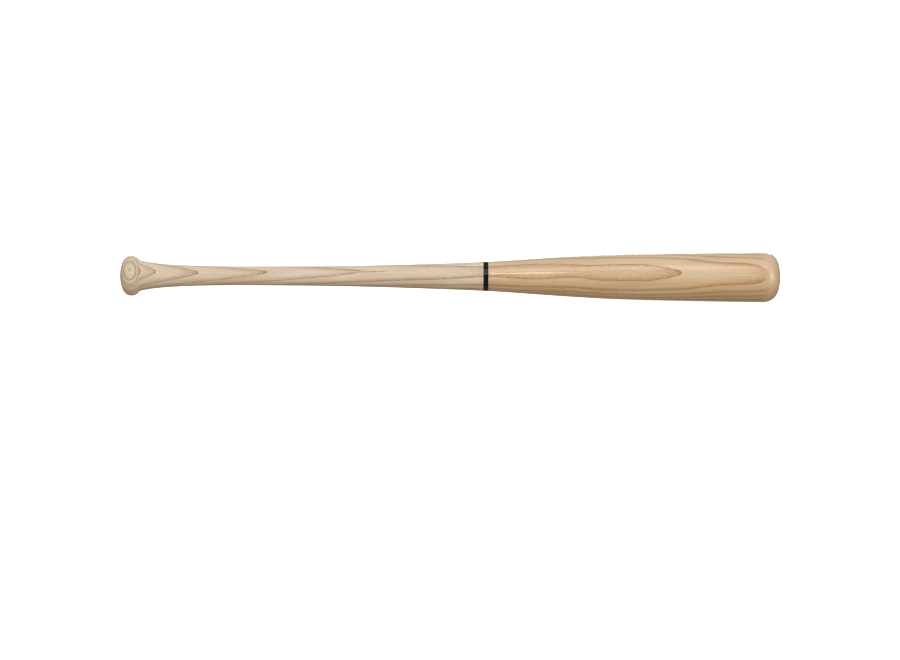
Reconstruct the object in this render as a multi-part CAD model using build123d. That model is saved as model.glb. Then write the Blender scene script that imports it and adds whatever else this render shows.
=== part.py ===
"""Adult baseball bat: one billet of ash, turned, with a printed band and printed marks.

The frame, in millimetres: the origin is the centre of the flat on the knob's end, +X runs along the
bat's axis to the barrel end, +Z is up. The wood is a solid of revolution about X. The prints are thin
films that lie on it: a band where the barrel begins, and plain marks on the label side, +Y.
"""

from build123d import *
from math import cos, hypot, radians, sin, sqrt, tan
import os

# The turned body
LENGTH = 33 * 25.4
BARREL_RADIUS = 31.75
KNOB_RADIUS = 25.4
END_FLAT_RADIUS = 6.5

# Knob: a shallow dome, a round nose, and a round back that falls to the neck
KNOB_DOME_RADIUS = 50.0
KNOB_NOSE_RADIUS = 12.0
KNOB_BACK_RADIUS = 13.0
KNOB_BACK_ANGLE = 52.5
NECK_FILLET_RADIUS = 2.5
NECK_ANGLE = 14.0

# Barrel end: a shallow dome and a large round corner
BARREL_DOME_RADIUS = 70.0
BARREL_CORNER_RADIUS = 19.0

# The long curve from the neck to the barrel: distance from the knob end, radius
STATIONS = [
    (45.0, 16.15),
    (75.0, 13.8),
    (120.0, 12.45),
    (200.0, 12.3),
    (300.0, 13.35),
    (390.0, 15.8),
    (470.0, 18.95),
    (540.0, 23.5),
    (620.0, 28.1),
    (720.0, 30.5),
]

# Prints
FILM = 0.12
BAND_X = 464.4
BAND_WIDTH = 6.2

# Marks on the label side, drawn on a plane that faces +Y, turned LABEL_ANGLE up towards +Z
LABEL_ANGLE = -12.0
EMBLEM_X = 521.0
EMBLEM_LENGTH = 97.0
EMBLEM_HEIGHT = 38.0
EMBLEM_LINE = 4.0
EMBLEM_CORNER = 3.0
BALL_RADIUS = 8.6
BALL_LINE = 1.8
SEAM_RADIUS = 7.4
SEAM_OFFSET = 9.6
SEAM_LINE = 1.2
LABEL_X = 740.0
SLANT = 18.0
RULE_LENGTH = 64.0
RULE_HEIGHT = 4.2
RULE_RISE = 8.4
BLOCK_COUNT = 7
BLOCK_PITCH = 12.7
BLOCK_LENGTH = 10.6
BLOCK_HEIGHT = 9.6
BLOCK_RISE = -1.4
TAG_LENGTH = 32.0
TAG_HEIGHT = 4.2
TAG_RISE = -11.4
DASH_LENGTH = 7.6
DASH_HEIGHT = 1.2
DASH_OFFSET = 22.6


def on_circle(centre, radius, angle):
    """A point of a circle in the profile plane. The angle is from +X, in degrees."""
    return Vector(centre.X + radius * cos(radians(angle)), 0, centre.Z + radius * sin(radians(angle)))


def arc(centre, radius, first, last):
    """The arc of a circle between two angles, in degrees."""
    middle = (first + last) / 2
    return ThreePointArc(*(on_circle(centre, radius, angle) for angle in (first, middle, last)))


def domed_end(dome_radius, corner_radius, rim_radius):
    """The dome and the round corner of an end whose flat lies at x = 0 and whose body is at +X.

    The corner touches the dome from inside and ends level, at the rim. Returns both arcs and the
    distance of the rim from the flat.
    """
    dome_centre = Vector(sqrt(dome_radius**2 - END_FLAT_RADIUS**2), 0, 0)
    between = dome_radius - corner_radius
    rise = rim_radius - corner_radius
    rim_x = dome_centre.X - sqrt(between**2 - rise**2)
    corner_centre = Vector(rim_x, 0, rise)
    touch = dome_centre + (corner_centre - dome_centre) * (dome_radius / between)
    start = Vector(0, 0, END_FLAT_RADIUS)
    chord_middle = (start + touch) / 2
    outward = (chord_middle - dome_centre).normalized()
    dome = ThreePointArc(start, dome_centre + outward * dome_radius, touch)
    outward = ((touch + Vector(rim_x, 0, rim_radius)) / 2 - corner_centre).normalized()
    corner = ThreePointArc(touch, corner_centre + outward * corner_radius, Vector(rim_x, 0, rim_radius))
    return [dome, corner], rim_x


def neck_arcs(rim_x):
    """The knob's round back and the fillet at the neck, and the point where the fillet ends."""
    back_centre = Vector(rim_x, 0, KNOB_RADIUS - KNOB_BACK_RADIUS)
    back = arc(back_centre, KNOB_BACK_RADIUS, 90, 90 - KNOB_BACK_ANGLE)
    reach = KNOB_BACK_RADIUS + NECK_FILLET_RADIUS
    fillet_centre = on_circle(back_centre, reach, 90 - KNOB_BACK_ANGLE)
    fillet = arc(fillet_centre, NECK_FILLET_RADIUS, 270 - KNOB_BACK_ANGLE, 270 - NECK_ANGLE)
    neck = on_circle(fillet_centre, NECK_FILLET_RADIUS, 270 - NECK_ANGLE)
    return [back, fillet], neck


knob_arcs, knob_rim_x = domed_end(KNOB_DOME_RADIUS, KNOB_NOSE_RADIUS, KNOB_RADIUS)
back_arcs, neck_point = neck_arcs(knob_rim_x)
end_arcs, end_rim = domed_end(BARREL_DOME_RADIUS, BARREL_CORNER_RADIUS, BARREL_RADIUS)
barrel_rim = Vector(LENGTH - end_rim, 0, BARREL_RADIUS)


def long_curve(raised=0.0):
    """The outline from the neck to the barrel's rim, raised in radius for the films."""
    points = [neck_point, *(Vector(x, 0, radius) for x, radius in STATIONS), barrel_rim]
    slopes = [Vector(1, 0, -tan(radians(NECK_ANGLE))), Vector(1, 0, 0)]
    return Edge.make_spline(
        [point + Vector(0, 0, raised) for point in points],
        tangents=slopes,
        parameters=[point.X for point in points],
        scale=False,
    )


def ash_body():
    """The whole turned bat, knob to barrel end."""
    mirrored = [edge.mirror(Plane.YZ).moved(Location((LENGTH, 0, 0))) for edge in end_arcs]
    outline = [
        Line((0, 0, 0), (0, 0, END_FLAT_RADIUS)),
        *knob_arcs,
        *back_arcs,
        long_curve(),
        *mirrored,
        Line((LENGTH, 0, END_FLAT_RADIUS), (LENGTH, 0, 0)),
        Line((LENGTH, 0, 0), (0, 0, 0)),
    ]
    return revolve(make_face(outline), Axis.X, 360)


def film_shell():
    """A film all over the long curve, from which every print is cut."""
    inner = long_curve()
    outer = long_curve(FILM)
    ends = [Line(inner @ side, outer @ side) for side in (0, 1)]
    return revolve(make_face([inner, outer, *ends]), Axis.X, 360)


def print_film(shape):
    """The film under a flat shape drawn on the label plane: x along the bat, y up the label."""
    label_plane = Plane(
        origin=(0, 0, 0),
        x_dir=(1, 0, 0),
        z_dir=(0, cos(radians(LABEL_ANGLE)), sin(radians(LABEL_ANGLE))),
    )
    stamp = extrude(label_plane * shape, 2 * BARREL_RADIUS)
    return shell & stamp


def rhombus(length, height, corner):
    """A rhombus with rounded corners."""
    half_length = length / 2
    half_height = height / 2
    corners = [(half_length, 0), (0, half_height), (-half_length, 0), (0, -half_height)]
    shape = make_face(Polyline(*corners, close=True))
    return fillet(shape.vertices(), corner)


def emblem_outline():
    """A plain rhombus line."""
    side = hypot(EMBLEM_LENGTH, EMBLEM_HEIGHT) / 2
    narrower = EMBLEM_LINE * side / (EMBLEM_HEIGHT / 2)
    shorter = EMBLEM_LINE * side / (EMBLEM_LENGTH / 2)
    outer = rhombus(EMBLEM_LENGTH, EMBLEM_HEIGHT, EMBLEM_CORNER)
    inner = rhombus(EMBLEM_LENGTH - 2 * narrower, EMBLEM_HEIGHT - 2 * shorter, EMBLEM_CORNER / 2)
    return Pos(EMBLEM_X, 0) * (outer - inner)


def emblem_ball():
    """A plain ball in the middle of the rhombus: a ring and two seam arcs."""
    disc = Circle(BALL_RADIUS)
    ring = disc - Circle(BALL_RADIUS - BALL_LINE)
    seam = Circle(SEAM_RADIUS + SEAM_LINE / 2) - Circle(SEAM_RADIUS - SEAM_LINE / 2)
    seams = Pos(SEAM_OFFSET, 0) * seam + Pos(-SEAM_OFFSET, 0) * seam
    return Pos(EMBLEM_X, 0) * (ring + (seams & disc))


def slanted(length, height, x, rise):
    """A bar with leaning ends."""
    lean = height / 2 * tan(radians(SLANT))
    corners = [
        (x - length / 2 - lean, rise - height / 2),
        (x + length / 2 - lean, rise - height / 2),
        (x + length / 2 + lean, rise + height / 2),
        (x - length / 2 + lean, rise + height / 2),
    ]
    return make_face(Polyline(*corners, close=True))


def label_blocks():
    """A row of leaning blocks."""
    first = LABEL_X - BLOCK_PITCH * (BLOCK_COUNT - 1) / 2
    places = [first + BLOCK_PITCH * index for index in range(BLOCK_COUNT)]
    return Sketch() + [slanted(BLOCK_LENGTH, BLOCK_HEIGHT, x, BLOCK_RISE) for x in places]


def label_dashes():
    """A thin dash on each side of the lower bar."""
    places = [LABEL_X - DASH_OFFSET, LABEL_X + DASH_OFFSET]
    return Sketch() + [slanted(DASH_LENGTH, DASH_HEIGHT, x, TAG_RISE) for x in places]


shell = film_shell()
band_slab = Pos(BAND_X, 0, 0) * Box(BAND_WIDTH, 3 * BARREL_RADIUS, 3 * BARREL_RADIUS)

nodes = {
    "ash_body": ash_body(),
    "throat_band": shell & band_slab,
    "emblem_outline": print_film(emblem_outline()),
    "emblem_ball": print_film(emblem_ball()),
    "label_rule": print_film(slanted(RULE_LENGTH, RULE_HEIGHT, LABEL_X, RULE_RISE)),
    "label_blocks": print_film(label_blocks()),
    "label_tag": print_film(slanted(TAG_LENGTH, TAG_HEIGHT, LABEL_X, TAG_RISE)),
    "label_dashes": print_film(label_dashes()),
}

os.makedirs("parts", exist_ok=True)
for name, solid in nodes.items():
    solid.label = name
    export_step(solid, f"parts/{name}.step")
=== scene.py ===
"""A turned ash baseball bat on a pale floor: bare handle, lacquered barrel, printed band and marks.

Everything is in metres, in the bat's own frame: the knob's end at the origin, +X along the axis to
the barrel end, +Z up. Only the wood's grain is in millimetres. The label side faces +Y, and the camera
looks along +Y at the plain side.
"""

from math import acos, atan2, cos, hypot, pi, radians, sin, sqrt, tan

import bpy
import numpy as np
from mathutils import Matrix, Vector


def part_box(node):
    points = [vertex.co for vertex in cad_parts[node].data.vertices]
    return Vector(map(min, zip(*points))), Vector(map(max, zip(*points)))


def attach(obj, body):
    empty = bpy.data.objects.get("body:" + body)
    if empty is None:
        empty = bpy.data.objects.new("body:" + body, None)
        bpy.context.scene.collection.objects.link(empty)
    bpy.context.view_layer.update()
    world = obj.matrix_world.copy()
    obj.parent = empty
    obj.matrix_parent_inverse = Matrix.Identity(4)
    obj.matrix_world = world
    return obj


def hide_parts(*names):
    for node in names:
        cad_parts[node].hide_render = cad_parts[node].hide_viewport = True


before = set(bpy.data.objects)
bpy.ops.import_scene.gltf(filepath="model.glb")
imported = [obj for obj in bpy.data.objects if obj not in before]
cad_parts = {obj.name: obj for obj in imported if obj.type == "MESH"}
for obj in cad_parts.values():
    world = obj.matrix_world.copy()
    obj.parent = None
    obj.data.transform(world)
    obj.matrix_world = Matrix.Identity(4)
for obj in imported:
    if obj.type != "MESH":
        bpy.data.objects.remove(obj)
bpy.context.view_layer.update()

MM = 0.001

# The turned outline
WOOD_LOW, WOOD_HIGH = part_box("ash_body")
LENGTH = WOOD_HIGH.x
BARREL_RADIUS = min(-WOOD_LOW.y, -WOOD_LOW.z, WOOD_HIGH.y, WOOD_HIGH.z)
KNOB_RADIUS = 25.4 * MM
END_FLAT_RADIUS = 6.5 * MM
KNOB_DOME_RADIUS = 50.0 * MM
KNOB_NOSE_RADIUS = 12.0 * MM
KNOB_BACK_RADIUS = 13.0 * MM
KNOB_BACK_ANGLE = radians(52.5)
NECK_FILLET_RADIUS = 2.5 * MM
NECK_ANGLE = radians(14.0)
BARREL_DOME_RADIUS = 70.0 * MM
BARREL_CORNER_RADIUS = 19.0 * MM
STATIONS = [
    (45.0, 16.15),
    (75.0, 13.8),
    (120.0, 12.45),
    (200.0, 12.3),
    (300.0, 13.35),
    (390.0, 15.8),
    (470.0, 18.95),
    (540.0, 23.5),
    (620.0, 28.1),
    (720.0, 30.5),
]

# How finely the outline is drawn: faces round the bat, the long curve's step, each arc's steps, and rings
# of points on a flat, as shares of its radius
AROUND = 160
LONG_CURVE_STEP = 4.0 * MM
DOME_STEPS = 8
END_CORNER_STEPS = 24
KNOB_BACK_STEPS = 16
NECK_FILLET_STEPS = 8
FLAT_SHARES = (0.35, 0.7, 0.94)
CORE_SHARES = (0.35, 0.7, 0.97)

# Prints. A bar is its length, height and rise on the label plane.
FILM = 0.12 * MM
BAND_LOW, BAND_HIGH = (corner.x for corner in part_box("throat_band"))
BAND_X = (BAND_LOW + BAND_HIGH) / 2
LABEL_ANGLE = radians(-12.0)
EMBLEM_X = 521.0 * MM
EMBLEM_LENGTH = 97.0 * MM
EMBLEM_HEIGHT = 38.0 * MM
EMBLEM_LINE = 4.0 * MM
EMBLEM_CORNER = 3.0 * MM
BALL_RADIUS = 8.6 * MM
BALL_LINE = 1.8 * MM
SEAM_RADIUS = 7.4 * MM
SEAM_OFFSET = 9.6 * MM
SEAM_LINE = 1.2 * MM
LABEL_X = 740.0 * MM
SLANT = radians(18.0)
RULE = (64.0 * MM, 4.2 * MM, 8.4 * MM)
BLOCK = (10.6 * MM, 9.6 * MM, -1.4 * MM)
BLOCK_COUNT = 7
BLOCK_PITCH = 12.7 * MM
TAG = (32.0 * MM, 4.2 * MM, -11.4 * MM)
DASH = (7.6 * MM, 1.2 * MM, -11.4 * MM)
DASH_OFFSET = 22.6 * MM
CELL = 0.6 * MM
RHOMBUS_CORNER_STEPS = 8
RHOMBUS_SIDE_STEPS = 25
RHOMBUS_LINE_STEPS = 6
BALL_STEPS = 72
SEAM_STEPS = 24
BALL_LINE_STEPS = 3
BAND_STEPS = 6


# ---------------------------------------------------------------- the turned outline


def on_arc(centre, radius, first, last, count):
    """Points of an arc, in the plane of x and radius, between two angles."""
    angles = np.linspace(first, last, count + 1)
    return [(centre[0] + radius * cos(a), centre[1] + radius * sin(a)) for a in angles]


def domed_end(dome_radius, corner_radius, rim_radius):
    """An end's outline from its flat, at x = 0, to the rim where the body begins."""
    dome_x = sqrt(dome_radius**2 - END_FLAT_RADIUS**2)
    between = dome_radius - corner_radius
    rise = rim_radius - corner_radius
    rim_x = dome_x - sqrt(between**2 - rise**2)
    touch = pi - atan2(rise, dome_x - rim_x)
    start = pi - atan2(END_FLAT_RADIUS, dome_x)
    flat = [(0.0, END_FLAT_RADIUS * share) for share in FLAT_SHARES]
    dome = on_arc((dome_x, 0.0), dome_radius, start, touch, DOME_STEPS)
    corner = on_arc((rim_x, rise), corner_radius, touch, pi / 2, END_CORNER_STEPS)
    return flat + dome + corner[1:]


def clamped_spline(points, first_slope, last_slope):
    """The cubic spline through points that starts and ends at these slopes, as a function of x."""
    x, y = (np.array(column) for column in zip(*points))
    step = np.diff(x)
    rise = np.diff(y) / step
    count = len(x)
    matrix = np.zeros((count, count))
    right = np.zeros(count)
    matrix[0, 0] = matrix[-1, -1] = 1.0
    right[0], right[-1] = first_slope, last_slope
    for i in range(1, count - 1):
        matrix[i, i - 1 : i + 2] = step[i], 2 * (step[i - 1] + step[i]), step[i - 1]
        right[i] = 3 * (step[i] * rise[i - 1] + step[i - 1] * rise[i])
    slope = np.linalg.solve(matrix, right)

    def value(at):
        i = int(np.clip(np.searchsorted(x, at) - 1, 0, count - 2))
        t = (at - x[i]) / step[i]
        start = y[i] * (1 + 2 * t) * (1 - t) ** 2 + slope[i] * step[i] * t * (1 - t) ** 2
        end = y[i + 1] * t * t * (3 - 2 * t) + slope[i + 1] * step[i] * t * t * (t - 1)
        return start + end

    return value


def bat_outline():
    """The whole outline as (x, radius) points from knob to barrel end, and the radius as a function."""
    knob = domed_end(KNOB_DOME_RADIUS, KNOB_NOSE_RADIUS, KNOB_RADIUS)
    back_centre = (knob[-1][0], KNOB_RADIUS - KNOB_BACK_RADIUS)
    back_end = pi / 2 - KNOB_BACK_ANGLE
    back = on_arc(back_centre, KNOB_BACK_RADIUS, pi / 2, back_end, KNOB_BACK_STEPS)
    reach = KNOB_BACK_RADIUS + NECK_FILLET_RADIUS
    fillet_centre = on_arc(back_centre, reach, back_end, 0, 1)[0]
    first, last = 3 * pi / 2 - KNOB_BACK_ANGLE, 3 * pi / 2 - NECK_ANGLE
    fillet = on_arc(fillet_centre, NECK_FILLET_RADIUS, first, last, NECK_FILLET_STEPS)
    end = domed_end(BARREL_DOME_RADIUS, BARREL_CORNER_RADIUS, BARREL_RADIUS)
    end = [(LENGTH - x, radius) for x, radius in reversed(end)]
    knots = [fillet[-1]] + [(x * MM, radius * MM) for x, radius in STATIONS] + [end[0]]
    radius_at = clamped_spline(knots, -tan(NECK_ANGLE), 0.0)
    low, high = knots[0][0], knots[-1][0]
    steps = round((high - low) / LONG_CURVE_STEP)
    long_curve = [(x, radius_at(x)) for x in np.linspace(low, high, steps + 1)[1:-1]]
    return knob + back[1:] + fillet[1:] + long_curve + end, radius_at


outline, radius_at = bat_outline()


# ---------------------------------------------------------------- meshes


def add_piece(name, vertices, faces, sharp_angle=radians(40)):
    """A smooth-shaded mesh object, with edges sharper than sharp_angle kept sharp."""
    mesh = bpy.data.meshes.new(name)
    mesh.from_pydata(vertices, [], faces)
    mesh.validate()
    mesh.polygons.foreach_set("use_smooth", [True] * len(mesh.polygons))
    mesh.set_sharp_from_angle(angle=sharp_angle)
    piece = bpy.data.objects.new(name, mesh)
    bpy.context.scene.collection.objects.link(piece)
    return piece


def ring_vertices(points):
    """A ring of vertices about X for each (x, radius)."""
    angles = [2 * pi * k / AROUND for k in range(AROUND)]
    return [(x, r * cos(a), r * sin(a)) for x, r in points for a in angles]


def wall(ring, following):
    """The faces between two of those rings, by their numbers."""
    low, high = ring * AROUND, following * AROUND
    steps = [(k, (k + 1) % AROUND) for k in range(AROUND)]
    return [(low + k, low + after, high + after, high + k) for k, after in steps]


def turned(name, points):
    """A closed solid of revolution about X, from outline points that are all off the axis."""
    vertices = ring_vertices(points)
    faces = []
    for ring in range(len(points) - 1):
        faces += wall(ring, ring + 1)
    for ring, faces_knob in ((0, True), (len(points) - 1, False)):
        pole = len(vertices)
        vertices.append((points[ring][0], 0.0, 0.0))
        for k in range(AROUND):
            a, b = ring * AROUND + k, ring * AROUND + (k + 1) % AROUND
            faces.append((pole, b, a) if faces_knob else (pole, a, b))
    return add_piece(name, vertices, faces)


def on_label(x, rise, lift):
    """The point of the bat's surface under (x, rise) on the label plane, lifted off the wood."""
    radius = radius_at(x) + lift
    out = sqrt(radius**2 - rise**2)
    y = out * cos(LABEL_ANGLE) + rise * sin(LABEL_ANGLE)
    z = out * sin(LABEL_ANGLE) - rise * cos(LABEL_ANGLE)
    return (x, y, z)


def film(name, patches):
    """A thin solid on the wood for each patch, which is a grid of label points and whether it is a loop."""
    vertices, faces = [], []
    for grid, loop in patches:
        rows, columns = len(grid), len(grid[0])
        base = len(vertices)
        for lift in (FILM, 0.0):
            vertices += [on_label(x, rise, lift) for row in grid for x, rise in row]
        half = rows * columns
        wrap = rows if loop else rows - 1
        border = []
        for i in range(wrap):
            after = (i + 1) % rows
            for j in range(columns - 1):
                a, b = base + i * columns + j, base + after * columns + j
                faces.append((a, b, b + 1, a + 1))
                faces.append((a + half, a + 1 + half, b + 1 + half, b + half))
            border.append((base + i * columns, base + after * columns))
            border.append((base + (after + 1) * columns - 1, base + (i + 1) * columns - 1))
        if not loop:
            last = base + (rows - 1) * columns
            border += [(base + j + 1, base + j) for j in range(columns - 1)]
            border += [(last + j, last + j + 1) for j in range(columns - 1)]
        faces += [(a, a + half, b + half, b) for a, b in border]
    return add_piece(name, vertices, faces)


def bar(x, size):
    """A patch for a bar with leaning ends, from its length, height and rise."""
    length, height, rise = size
    along, across = max(2, round(length / CELL / 3)), max(2, round(height / CELL))
    grid = []
    for u in np.linspace(-0.5, 0.5, along + 1):
        middle = x + u * length
        up_the_bar = height * np.linspace(-0.5, 0.5, across + 1)
        grid.append([(middle + up * tan(SLANT), rise + up) for up in up_the_bar])
    return grid, False


def rounded_rhombus(half_length, half_height, corner):
    """The outline of a rhombus with rounded corners, as points about its middle."""
    lean = atan2(half_height, half_length)
    reach_x, reach_y = half_length - corner / sin(lean), half_height - corner / cos(lean)
    arcs = []
    for quarter, (x, y) in enumerate(((reach_x, 0), (0, reach_y), (-reach_x, 0), (0, -reach_y))):
        middle = quarter * pi / 2
        spread = lean if quarter % 2 else pi / 2 - lean
        arcs.append(on_arc((x, y), corner, middle - spread, middle + spread, RHOMBUS_CORNER_STEPS))
    shares = np.linspace(0, 1, RHOMBUS_SIDE_STEPS + 1)[1:-1]
    points = []
    for arc, following in zip(arcs, arcs[1:] + arcs[:1]):
        start, end = Vector(arc[-1]), Vector(following[0])
        points += arc + [tuple(start.lerp(end, share)) for share in shares]
    return points


def rhombus_line():
    """A loop patch between an outer and an inner rhombus."""
    half_length, half_height = EMBLEM_LENGTH / 2, EMBLEM_HEIGHT / 2
    side = hypot(half_length, half_height)
    outer = rounded_rhombus(half_length, half_height, EMBLEM_CORNER)
    inner = rounded_rhombus(
        half_length - EMBLEM_LINE * side / half_height,
        half_height - EMBLEM_LINE * side / half_length,
        EMBLEM_CORNER / 2,
    )
    grid = []
    for near, far in zip(inner, outer):
        near, far = Vector(near), Vector(far)
        row = [near.lerp(far, share) for share in np.linspace(0, 1, RHOMBUS_LINE_STEPS + 1)]
        grid.append([(EMBLEM_X + point.x, point.y) for point in row])
    return grid, True


def ball_ring():
    """A loop patch for the ball's edge."""
    radii = np.linspace(BALL_RADIUS - BALL_LINE, BALL_RADIUS, BALL_LINE_STEPS + 1)
    angles = [2 * pi * k / BALL_STEPS for k in range(BALL_STEPS)]
    return [[(EMBLEM_X + r * cos(a), r * sin(a)) for r in radii] for a in angles], True


def ball_seam(side):
    """A patch for one seam arc, which ends where it meets the ball's edge."""
    edge = BALL_RADIUS - BALL_LINE
    radii = SEAM_RADIUS + SEAM_LINE * np.linspace(-0.5, 0.5, BALL_LINE_STEPS + 1)
    grid = []
    for share in np.linspace(-1, 1, SEAM_STEPS + 1):
        row = []
        for r in radii:
            reach = acos((r**2 + SEAM_OFFSET**2 - edge**2) / (2 * r * SEAM_OFFSET))
            a = share * reach
            row.append((EMBLEM_X + side * (SEAM_OFFSET - r * cos(a)), -side * r * sin(a)))
        grid.append(row)
    return grid, False


def printed_band():
    """The band as a thin ring: outside, two walls and the face that lies on the wood."""
    xs = np.linspace(BAND_LOW, BAND_HIGH, BAND_STEPS + 1)
    top = [(x, radius_at(x) + FILM) for x in xs]
    under = [(x, radius_at(x)) for x in reversed(xs)]
    section = top + under
    faces = []
    for point in range(len(section)):
        faces += wall(point, (point + 1) % len(section))
    return add_piece("band_print", ring_vertices(section), faces)


# ---------------------------------------------------------------- materials


class Nodes:
    """Short calls for building a material's nodes."""

    def __init__(self, name):
        self.material = bpy.data.materials.new(name)
        self.material.use_nodes = True
        self.tree = self.material.node_tree
        self.shader = self.tree.nodes["Principled BSDF"]

    def add(self, kind, **settings):
        node = self.tree.nodes.new("ShaderNode" + kind)
        for key, value in settings.items():
            setattr(node, key, value)
        return node

    def feed(self, socket, value):
        if isinstance(value, bpy.types.NodeSocket):
            self.tree.links.new(value, socket)
        elif value is not None:
            socket.default_value = value

    def math(self, operation, *values, clamp=False):
        node = self.add("Math", operation=operation, use_clamp=clamp)
        for socket, value in zip(node.inputs, values):
            self.feed(socket, value)
        return node.outputs[0]

    def vector(self, operation, first, second=None, scale=None):
        node = self.add("VectorMath", operation=operation)
        for index, value in ((0, first), (1, second), (3, scale)):
            self.feed(node.inputs[index], value)
        return node.outputs[0]

    def millimetres(self):
        """The place on the bat in millimetres."""
        return self.vector("SCALE", self.add("TexCoord").outputs["Object"], scale=1 / MM)

    def noise(self, vector, detail=2.0, roughness=0.5):
        node = self.add("TexNoise")
        self.feed(node.inputs["Vector"], vector)
        node.inputs["Scale"].default_value = 1.0
        node.inputs["Detail"].default_value = detail
        node.inputs["Roughness"].default_value = roughness
        return node.outputs["Fac"]

    def grain(self, place, cell, detail=2.0, roughness=0.5):
        """Noise whose cells are drawn out along the bat, for a cell's length and width."""
        length, width = cell
        stretched = self.vector("MULTIPLY", place, (1 / length, 1 / width, 1 / width))
        return self.noise(stretched, detail, roughness)

    def swing(self, value, span):
        """A value of 0 to 1 as a swing either way about zero."""
        return self.math("MULTIPLY_ADD", value, span, -span / 2)

    def bump(self, height, depth):
        """Shapes the surface by height, where a height of one is this depth."""
        node = self.add("Bump")
        node.inputs["Strength"].default_value = 1.0
        node.inputs["Distance"].default_value = depth
        self.feed(node.inputs["Height"], height)
        self.feed(self.shader.inputs["Normal"], node.outputs[0])

    def smooth(self, value, low, high, to_low=0.0, to_high=1.0):
        node = self.add("MapRange", interpolation_type="SMOOTHSTEP")
        for socket, number in zip(node.inputs, (value, low, high, to_low, to_high)):
            self.feed(socket, number)
        return node.outputs[0]

    def curve(self, value, points):
        """A smooth function through points, all between 0 and 1."""
        node = self.add("FloatCurve")
        self.feed(node.inputs["Value"], value)
        line = node.mapping.curves[0]
        line.points[0].location = points[0]
        line.points[1].location = points[-1]
        for point in points[1:-1]:
            line.points.new(*point)
        node.mapping.extend = "EXTRAPOLATED"
        node.mapping.update()
        return node.outputs[0]

    def ramp(self, value, stops):
        node = self.add("ValToRGB")
        self.feed(node.inputs["Fac"], value)
        elements = node.color_ramp.elements
        while len(elements) < len(stops):
            elements.new(0.5)
        for element, (place, colour) in zip(elements, stops):
            element.position = place
            element.color = (*colour, 1.0)
        return node.outputs["Color"]

    def mix(self, share, first, second, blend="MIX"):
        node = self.add("Mix", data_type="RGBA", blend_type=blend)
        colours = [socket for socket in node.inputs if socket.type == "RGBA"]
        self.feed(node.inputs[0], share)
        for socket, value in zip(colours, (first, second)):
            self.feed(socket, (*value, 1.0) if isinstance(value, tuple) else value)
        return next(socket for socket in node.outputs if socket.type == "RGBA")


def srgb(red, green, blue):
    """A colour given in 0 to 255 screen values, as the linear numbers that a shader takes."""
    shares = [value / 255 for value in (red, green, blue)]
    return tuple(c / 12.92 if c <= 0.04045 else ((c + 0.055) / 1.055) ** 2.4 for c in shares)


# How the growth rings lie in the wood, in millimetres and degrees. They are nearly flat sheets that face
# the plain side, and depth is counted through them from there. At each place along the bat, TURN is how
# far they face up, and the axis lies AXIS_DEPTH and DRIFT deep. RING_BEND is twice the radius to which
# they curve.
BODY_MM = LENGTH / MM
TURN_MAX = 40.0
TURN = [
    (0, 21), (20, 21), (45, 22.5), (100, 21), (187, 27), (303, 29), (470, 24), (566, 22),
    (609, 16), (709, 14), (838, 10),
]
DRIFT_MAX = 60.0
DRIFT = [
    (0, 1.9), (15, 2.2), (45, 2.9), (100, 6.5), (187, 12.1), (303, 19.7), (390, 25.2),
    (470, 30.1), (521, 32.6), (566, 36.2), (590, 37.9), (609, 38.55), (640, 39.5),
    (662, 40.15), (686, 41.55), (709, 42.9), (764, 47.65), (800, 49.05), (808, 49.55),
    (822, 50.95), (838, 51.55),
]
AXIS_DEPTH = 25.4
RING_BEND = 600.0

# The depth at which each ring ends
DEPTH_MAX = 120.0
RINGS = [
    2.28, 5.1, 8.7, 11.5, 18.2, 24.4, 30.8, 38.0, 45.0, 51.0, 56.6, 63.5, 71.5, 80.5, 90.4,
    97.3, 106.7, 113.6, 120.0,
]

# A crest along the handle that draws the rings' tips out, and a sharper one that gives one tip a tail:
# height, the square of the half-width, and where each begins and ends
CREST_HEIGHT = 0.85
CREST_SPREAD = 20.0
CREST_START = (26.0, 42.0)
CREST_END = (360.0, 480.0)
TAIL_HEIGHT = 1.3
TAIL_SPREAD = 0.5
TAIL_START = (270.0, 300.0)
TAIL_END = (338.0, 346.0)

# Noise in the wood, as a cell's length along the bat and its width
RING_WAVE = (55.0, 16.0)
RING_WAVER = (9.0, 1.4)
PATCHES = (120.0, 22.0)
BANDS = (90.0, 2.6)
FIBRES = (26.0, 0.7)
HAIRS = (5.0, 0.22)
VESSELS = (4.5, 0.36)
FLECKS = (2.2, 0.9)
RING_WAVE_SPAN = 1.2
RING_WAVER_SPAN = 0.36

# How far the noise changes the colour and the surface
PATCH_EDGES = (0.3, 0.7)
FIBRE_SHADE, HAIR_SHADE, BAND_SHADE = 0.36, 0.16, 0.34
DARKEST_SHADE = 0.58
FIBRE_ROUGHNESS = 0.12
HAIR_HEIGHT = 0.35

# Across a ring's edge, in millimetres of depth: the thin dark line, the rows of vessels that darken the
# wood on its outer side, and how many of the vessels are open pores
EDGE_LINE = [(-0.16, 0.0), (-0.10, 0.6), (-0.05, 1.0), (0.03, 1.0), (0.07, 0.5), (0.12, 0.0)]
VESSEL_ROWS = [
    (-2.8, 0.0), (-1.6, 0.26), (-0.8, 0.55), (-0.35, 0.85), (-0.1, 1.0), (0.06, 0.3), (0.2, 0.0),
]
OPEN_PORES = [(-2.8, 0.06), (-1.9, 0.25), (-0.8, 0.8), (0.0, 1.0), (0.3, 0.1), (0.4, 0.06)]
VESSEL_GAPS = (0.40, 0.60, 0.35, 1.0)
OPEN_PORE_EDGES = (0.62, 0.74)
PORE_SHADE = 0.7
FLECK_EDGES = (0.83, 0.87, 0.0, 0.6)

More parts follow.
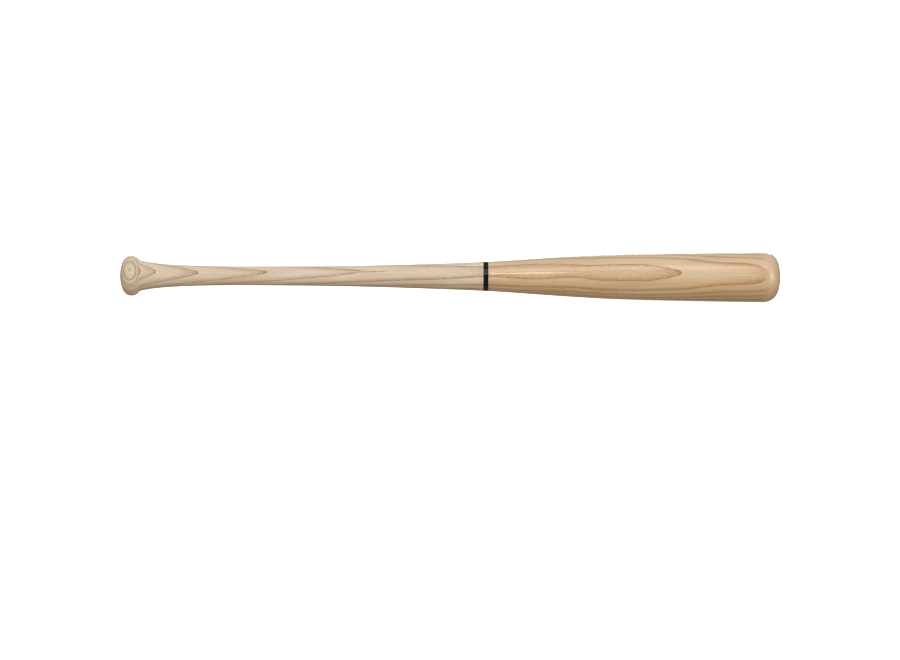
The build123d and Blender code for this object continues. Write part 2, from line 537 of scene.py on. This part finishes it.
# How a ring's number changes it: the first rings are narrow, with little dark wood beside their lines,
# the very first is faint, and a few in the middle are heavy
NARROW_RINGS = (2.5, 3.6)
RING_WIDTHS = (1.5, 6.8)
NARROW_VESSELS = (0.35, 1.0)
FIRST_RING = (0.3, 0.6, 0.45, 1.0)
HEAVY_START = (7.4, 8.0, 1.0, 1.8)
HEAVY_END = (11.2, 12.0, 0.0, 0.8)
WEAKEST_RING = 0.75

# Near the barrel's end the lines fade, a painted sheen that washes them out, and partly come back on the
# end itself
END_SHEEN_FADE = (810.0, 822.0, 0.0, 0.85)
END_RETURN = (829.0, 835.0, 0.0, 0.35)


def near_edge(nodes, depth, stops):
    """The value that stops give at this depth from a ring's edge."""
    low, high = stops[0][0], stops[-1][0]
    share = nodes.math("DIVIDE", nodes.math("SUBTRACT", depth, low), high - low)
    return nodes.ramp(share, [((place - low) / (high - low), (value,) * 3) for place, value in stops])


def crest(nodes, x, across, height, spread, start, end):
    """A ridge in the sheets along the bat, over one stretch of it."""
    ridge = nodes.math("POWER", 0.5, nodes.math("DIVIDE", nodes.math("MULTIPLY", across, across), spread))
    ridge = nodes.math("MULTIPLY", ridge, nodes.smooth(x, *start, 0.0, height))
    return nodes.math("MULTIPLY", ridge, nodes.smooth(x, *end, 1.0, 0.0))


def growth_rings(nodes, place):
    """How many rings deep a point lies, and how far along the bat, for a place in millimetres."""
    parts = nodes.add("SeparateXYZ")
    nodes.feed(parts.inputs[0], place)
    x, y, z = parts.outputs
    along = nodes.math("DIVIDE", x, BODY_MM)
    turn = nodes.curve(along, [(at / BODY_MM, angle / TURN_MAX) for at, angle in TURN])
    turn = nodes.math("MULTIPLY", turn, radians(TURN_MAX))
    cosine, sine = nodes.math("COSINE", turn), nodes.math("SINE", turn)
    outward = nodes.math("SUBTRACT", nodes.math("MULTIPLY", z, sine), nodes.math("MULTIPLY", y, cosine))
    across = nodes.math("ADD", nodes.math("MULTIPLY", z, cosine), nodes.math("MULTIPLY", y, sine))
    bend = nodes.math("DIVIDE", nodes.math("MULTIPLY", across, across), RING_BEND)
    tips = crest(nodes, x, across, CREST_HEIGHT, CREST_SPREAD, CREST_START, CREST_END)
    tail = crest(nodes, x, across, TAIL_HEIGHT, TAIL_SPREAD, TAIL_START, TAIL_END)
    drift = nodes.curve(along, [(at / BODY_MM, drift / DRIFT_MAX) for at, drift in DRIFT])
    depth = nodes.math("MULTIPLY_ADD", drift, DRIFT_MAX, AXIS_DEPTH)
    for part in (outward, bend, tips, tail):
        depth = nodes.math("SUBTRACT", depth, part)
    wave = nodes.grain(place, RING_WAVE, detail=1.0)
    waver = nodes.grain(place, RING_WAVER)
    depth = nodes.math("ADD", depth, nodes.swing(wave, RING_WAVE_SPAN))
    depth = nodes.math("ADD", depth, nodes.swing(waver, RING_WAVER_SPAN))
    count = len(RINGS) - 1
    steps = [(end / DEPTH_MAX, ring / count) for ring, end in enumerate(RINGS)]
    rings = nodes.curve(nodes.math("DIVIDE", depth, DEPTH_MAX), steps)
    return nodes.math("MULTIPLY", rings, float(count)), x


def ring_strength(nodes, rings, x):
    """How strongly a ring's edge shows: a little different for each ring, and less near the end, where a
    painted sheen washes the lines out.
    """
    ring_number = nodes.add("TexWhiteNoise", noise_dimensions="1D")
    nodes.feed(ring_number.inputs["W"], nodes.math("FLOOR", rings))
    random = ring_number.outputs["Value"]
    strength = nodes.math("MULTIPLY_ADD", random, 1.0 - WEAKEST_RING, WEAKEST_RING)
    strength = nodes.math("MULTIPLY", strength, nodes.smooth(rings, *FIRST_RING))
    # painted sheen: near the barrel's end the lines fade as if a highlight washed them out, and partly come
    # back on the end itself
    painted_sheen = nodes.math("SUBTRACT", nodes.smooth(x, *END_SHEEN_FADE), nodes.smooth(x, *END_RETURN))
    return nodes.math("MULTIPLY", strength, nodes.math("SUBTRACT", 1.0, painted_sheen))


def ash(name, pale, warm, fringe_tint, line, pore, roughness, depth_of_pores):
    """Ash with wide growth rings: a sharp brown line and a band of open pores at each ring's edge."""
    nodes = Nodes(name)
    place = nodes.millimetres()
    rings, x = growth_rings(nodes, place)
    share = nodes.math("FRACT", rings)
    share = nodes.math("SUBTRACT", share, nodes.math("GREATER_THAN", share, 0.5))
    depth = nodes.math("MULTIPLY", share, nodes.smooth(rings, *NARROW_RINGS, *RING_WIDTHS))

    patches = nodes.grain(place, PATCHES)
    bands = nodes.grain(place, BANDS)
    fibres = nodes.grain(place, FIBRES, detail=3.0, roughness=0.65)
    hairs = nodes.grain(place, HAIRS)
    vessels = nodes.grain(place, VESSELS, detail=1.0)
    flecks = nodes.grain(place, FLECKS, detail=0.0)

    colour = nodes.mix(nodes.smooth(patches, *PATCH_EDGES), pale, warm)
    shade = nodes.math("MULTIPLY_ADD", fibres, FIBRE_SHADE, DARKEST_SHADE)
    shade = nodes.math("MULTIPLY_ADD", hairs, HAIR_SHADE, shade)
    shade = nodes.math("MULTIPLY_ADD", bands, BAND_SHADE, shade)
    colour = nodes.mix(1.0, colour, shade, blend="MULTIPLY")

    strength = ring_strength(nodes, rings, x)
    fringe = near_edge(nodes, depth, VESSEL_ROWS)
    fringe = nodes.math("MULTIPLY", fringe, nodes.smooth(vessels, *VESSEL_GAPS))
    heavy = nodes.smooth(rings, *NARROW_RINGS, *NARROW_VESSELS)
    heavy = nodes.math("MULTIPLY", heavy, nodes.smooth(rings, *HEAVY_START))
    heavy = nodes.math("SUBTRACT", heavy, nodes.smooth(rings, *HEAVY_END))
    fringe = nodes.math("MULTIPLY", fringe, heavy, clamp=True)
    colour = nodes.mix(nodes.math("MULTIPLY", fringe, strength), colour, fringe_tint)
    edge_line = near_edge(nodes, depth, EDGE_LINE)
    colour = nodes.mix(nodes.math("MULTIPLY", edge_line, strength), colour, line)
    open_pore = nodes.smooth(vessels, *OPEN_PORE_EDGES)
    open_pore = nodes.math("MULTIPLY", open_pore, near_edge(nodes, depth, OPEN_PORES))
    colour = nodes.mix(nodes.math("MULTIPLY", open_pore, PORE_SHADE), colour, pore)
    colour = nodes.mix(nodes.smooth(flecks, *FLECK_EDGES), colour, pore)
    nodes.feed(nodes.shader.inputs["Base Color"], colour)

    rough = nodes.math("ADD", nodes.swing(fibres, FIBRE_ROUGHNESS), roughness)
    nodes.feed(nodes.shader.inputs["Roughness"], rough)
    surface = nodes.math("SUBTRACT", nodes.math("MULTIPLY", hairs, HAIR_HEIGHT), open_pore)
    nodes.bump(surface, depth_of_pores)
    return nodes


def bare_ash():
    """The knob and handle: pale, sanded and matte."""
    nodes = ash(
        "bare_ash",
        pale=srgb(219, 203, 182),
        warm=srgb(211, 192, 168),
        fringe_tint=srgb(164, 118, 82),
        line=srgb(132, 88, 58),
        pore=srgb(122, 90, 66),
        roughness=0.62,
        depth_of_pores=0.05 * MM,
    )
    nodes.shader.inputs["Specular IOR Level"].default_value = 0.35
    return nodes.material


def lacquered_ash():
    """The barrel: the same wood made warmer by clear gloss lacquer."""
    nodes = ash(
        "lacquered_ash",
        pale=srgb(213, 188, 153),
        warm=srgb(206, 175, 136),
        fringe_tint=srgb(176, 122, 64),
        line=srgb(158, 102, 48),
        pore=srgb(136, 92, 52),
        roughness=0.42,
        depth_of_pores=0.02 * MM,
    )
    nodes.shader.inputs["Coat Weight"].default_value = 1.0
    nodes.shader.inputs["Coat Roughness"].default_value = 0.1
    nodes.shader.inputs["Coat IOR"].default_value = 1.5
    return nodes.material


# The black film: the grain that shows in its surface, and the patches where it is worn
FILM_GRAIN = (4.0, 0.3)
FILM_GRAIN_DEPTH = 0.008 * MM
FILM_WEAR = (6.0, 2.5)
FILM_WEAR_EDGES = (0.60, 0.74)
FILM_ROUGHNESS = 0.16
WORN_ROUGHNESS = 0.41

FLOOR_MOTTLE = 3.0
FLOOR_GLOW = 0.78


def black_film():
    """Glossy black transfer film, with faint wear and the wood's grain showing in its surface."""
    nodes = Nodes("black_film")
    place = nodes.millimetres()
    wear = nodes.grain(place, FILM_WEAR, detail=4.0, roughness=0.7)
    worn = nodes.smooth(wear, *FILM_WEAR_EDGES)
    colour = nodes.mix(worn, srgb(10, 10, 11), srgb(36, 34, 33))
    nodes.feed(nodes.shader.inputs["Base Color"], colour)
    rough = nodes.math("MULTIPLY_ADD", worn, WORN_ROUGHNESS - FILM_ROUGHNESS, FILM_ROUGHNESS)
    nodes.feed(nodes.shader.inputs["Roughness"], rough)
    nodes.shader.inputs["Specular IOR Level"].default_value = 0.3
    nodes.bump(nodes.grain(place, FILM_GRAIN), FILM_GRAIN_DEPTH)
    return nodes.material


def pale_floor():
    """A plain near-white floor, faintly mottled."""
    nodes = Nodes("pale_floor")
    coordinates = nodes.add("TexCoord").outputs["Object"]
    mottle = nodes.noise(nodes.vector("SCALE", coordinates, scale=FLOOR_MOTTLE))
    colour = nodes.mix(mottle, (0.90, 0.90, 0.90), (0.93, 0.93, 0.93))
    nodes.feed(nodes.shader.inputs["Base Color"], colour)
    nodes.shader.inputs["Roughness"].default_value = 0.9
    nodes.shader.inputs["Specular IOR Level"].default_value = 0.0
    nodes.shader.inputs["Emission Color"].default_value = (1.0, 1.0, 1.0, 1.0)
    nodes.shader.inputs["Emission Strength"].default_value = FLOOR_GLOW
    return nodes.material


# ---------------------------------------------------------------- the bat


def finish_piece(piece, material, slot, *cad_nodes):
    """Gives a piece its material, hangs it on the root body and hides the CAD nodes that it stands for."""
    piece.data.materials.append(material)
    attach(piece, "root")
    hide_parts(*cad_nodes)


def make_wood():
    """The body as two solids that meet under the band, so that each end has its own finish."""
    seam = (BAND_X, radius_at(BAND_X))
    core = [(BAND_X, seam[1] * share) for share in CORE_SHARES]
    handle = [point for point in outline if point[0] < BAND_X - MM] + [seam] + core[::-1]
    barrel = core + [seam] + [point for point in outline if point[0] > BAND_X + MM]
    finish_piece(turned("handle_and_knob", handle), bare_ash(), "ash_wood", "ash_body")
    finish_piece(turned("barrel", barrel), lacquered_ash(), "ash_wood", "ash_body")


def make_prints():
    """The band and the marks."""
    black = black_film()
    first = LABEL_X - BLOCK_PITCH * (BLOCK_COUNT - 1) / 2
    marks = {
        "emblem_outline": [rhombus_line()],
        "emblem_ball": [ball_ring(), ball_seam(1), ball_seam(-1)],
        "label_rule": [bar(LABEL_X, RULE)],
        "label_blocks": [bar(first + BLOCK_PITCH * index, BLOCK) for index in range(BLOCK_COUNT)],
        "label_tag": [bar(LABEL_X, TAG)],
        "label_dashes": [bar(LABEL_X + side * DASH_OFFSET, DASH) for side in (-1, 1)],
    }
    finish_piece(printed_band(), black, "black_print", "throat_band")
    for node, patches in marks.items():
        finish_piece(film(node + "_print", patches), black, "black_print", node)


make_wood()
make_prints()


# ---------------------------------------------------------------- floor, light and camera

# A floor that reaches the horizon, and the width of what the camera sees at the bat
FLOOR_SIZE = 400.0
VIEW_WIDTH = 1.144
CAMERA_DISTANCE = 4.3
CAMERA_ELEVATION = radians(5.0)
CAMERA_ROLL = radians(0.14)
BAT_ABOVE_CENTRE = 68.2 * MM

# Softboxes: direction from the bat (degrees round to the barrel's side, degrees up), distance, width,
# height, watts, and whether it shows in the gloss
SOFTBOXES = {
    "fill": (0.0, 11.0, 5.0, 3.0, 2.0, 82.0, False),
    "bank": (0.0, 50.0, 3.0, 3.0, 1.2, 21.0, True),
    "strip": (-14.0, 27.0, 3.5, 1.2, 0.2, 14.0, True),
    "side": (56.0, 10.0, 2.8, 1.4, 2.0, 19.0, True),
    "knob_side": (-75.0, 20.0, 3.0, 1.8, 1.8, 10.0, False),
    "overhead": (0.0, 89.0, 2.0, 3.0, 1.2, 2.0, True),
    "back_fill": (180.0, 11.0, 5.0, 3.0, 2.0, 80.0, False),
    "back_bank": (180.0, 45.0, 3.0, 3.0, 1.2, 20.0, False),
    "back_strip": (166.0, 22.0, 3.5, 1.2, 0.2, 7.0, True),
}

# The surround's colour above and below, how far from level it changes, and how bright the camera sees it
SURROUND_ABOVE = (0.31, 0.31, 0.31)
SURROUND_BELOW = (0.31, 0.25, 0.18)
SURROUND_TURN = 0.3
BACKGROUND = 1.05


def make_floor():
    """A floor that touches the barrel and the knob of the bat lying on it. It lights nothing itself."""
    knob = [point for point in outline if point[0] < STATIONS[0][0] * MM]
    knob_x = max(knob, key=lambda point: point[1])[0]
    barrel_x = LENGTH - 2 * BARREL_CORNER_RADIUS
    tilt = atan2(BARREL_RADIUS - KNOB_RADIUS, barrel_x - knob_x)
    half = FLOOR_SIZE / 2
    corners = [(-half, -half, 0), (half, -half, 0), (half, half, 0), (-half, half, 0)]
    floor = add_piece("floor", corners, [(0, 1, 2, 3)])
    contact = Vector((knob_x, 0, -KNOB_RADIUS / cos(tilt)))
    floor.matrix_world = Matrix.Translation(contact) @ Matrix.Rotation(tilt, 4, "Y")
    floor.data.materials.append(pale_floor())
    floor.visible_diffuse = floor.visible_glossy = floor.visible_shadow = False


def add_softbox(name, around, up, distance, width, height, power, glossy):
    """A rectangular area light that faces the middle of the bat."""
    light = bpy.data.lights.new(name, "AREA")
    light.shape = "RECTANGLE"
    light.size, light.size_y = width, height
    light.energy = power
    around, up = radians(around), radians(up)
    outward = Vector((sin(around) * cos(up), -cos(around) * cos(up), sin(up)))
    lamp = bpy.data.objects.new(name, light)
    lamp.visible_glossy = glossy
    lamp.location = Vector((LENGTH / 2, 0, 0)) + outward * distance
    lamp.rotation_euler = outward.to_track_quat("Z", "Y").to_euler()
    bpy.context.scene.collection.objects.link(lamp)


def make_surround():
    """A dim surround, warmer from below, that the camera sees as plain white."""
    world = bpy.data.worlds.new("surround")
    world.use_nodes = True
    tree = world.node_tree
    direction = tree.nodes.new("ShaderNodeSeparateXYZ")
    coordinates = tree.nodes.new("ShaderNodeTexCoord")
    tree.links.new(coordinates.outputs["Generated"], direction.inputs[0])
    height = tree.nodes.new("ShaderNodeMapRange")
    height.inputs["From Min"].default_value = -SURROUND_TURN
    height.inputs["From Max"].default_value = SURROUND_TURN
    tree.links.new(direction.outputs["Z"], height.inputs["Value"])
    tints = tree.nodes.new("ShaderNodeValToRGB")
    tints.color_ramp.elements[0].color = (*SURROUND_BELOW, 1.0)
    tints.color_ramp.elements[1].color = (*SURROUND_ABOVE, 1.0)
    tree.links.new(height.outputs[0], tints.inputs["Fac"])
    lighting = tree.nodes["Background"]
    tree.links.new(tints.outputs["Color"], lighting.inputs["Color"])
    seen = tree.nodes.new("ShaderNodeBackground")
    seen.inputs["Color"].default_value = (1.0, 1.0, 1.0, 1.0)
    seen.inputs["Strength"].default_value = BACKGROUND
    choice = tree.nodes.new("ShaderNodeMixShader")
    light_path = tree.nodes.new("ShaderNodeLightPath")
    tree.links.new(light_path.outputs["Is Camera Ray"], choice.inputs[0])
    tree.links.new(lighting.outputs[0], choice.inputs[1])
    tree.links.new(seen.outputs[0], choice.inputs[2])
    tree.links.new(choice.outputs[0], tree.nodes["World Output"].inputs["Surface"])
    bpy.context.scene.world = world


def make_camera():
    """The camera on the plain side, low and far, with the bat above the picture's middle."""
    data = bpy.data.cameras.new("camera")
    data.sensor_width = 36.0
    data.lens = data.sensor_width * CAMERA_DISTANCE / VIEW_WIDTH
    camera = bpy.data.objects.new("camera", data)
    outward = Vector((0, -cos(CAMERA_ELEVATION), sin(CAMERA_ELEVATION)))
    up = Vector((0, sin(CAMERA_ELEVATION), cos(CAMERA_ELEVATION)))
    aim = Vector((LENGTH / 2, 0, 0)) - up * BAT_ABOVE_CENTRE
    turn = outward.to_track_quat("Z", "Y").to_matrix().to_4x4() @ Matrix.Rotation(CAMERA_ROLL, 4, "Z")
    camera.matrix_world = Matrix.Translation(aim + outward * CAMERA_DISTANCE) @ turn
    bpy.context.scene.collection.objects.link(camera)
    bpy.context.scene.camera = camera


make_floor()
for name, box in SOFTBOXES.items():
    add_softbox(name, *box)
make_surround()
make_camera()
bpy.context.scene.view_settings.view_transform = "Standard"
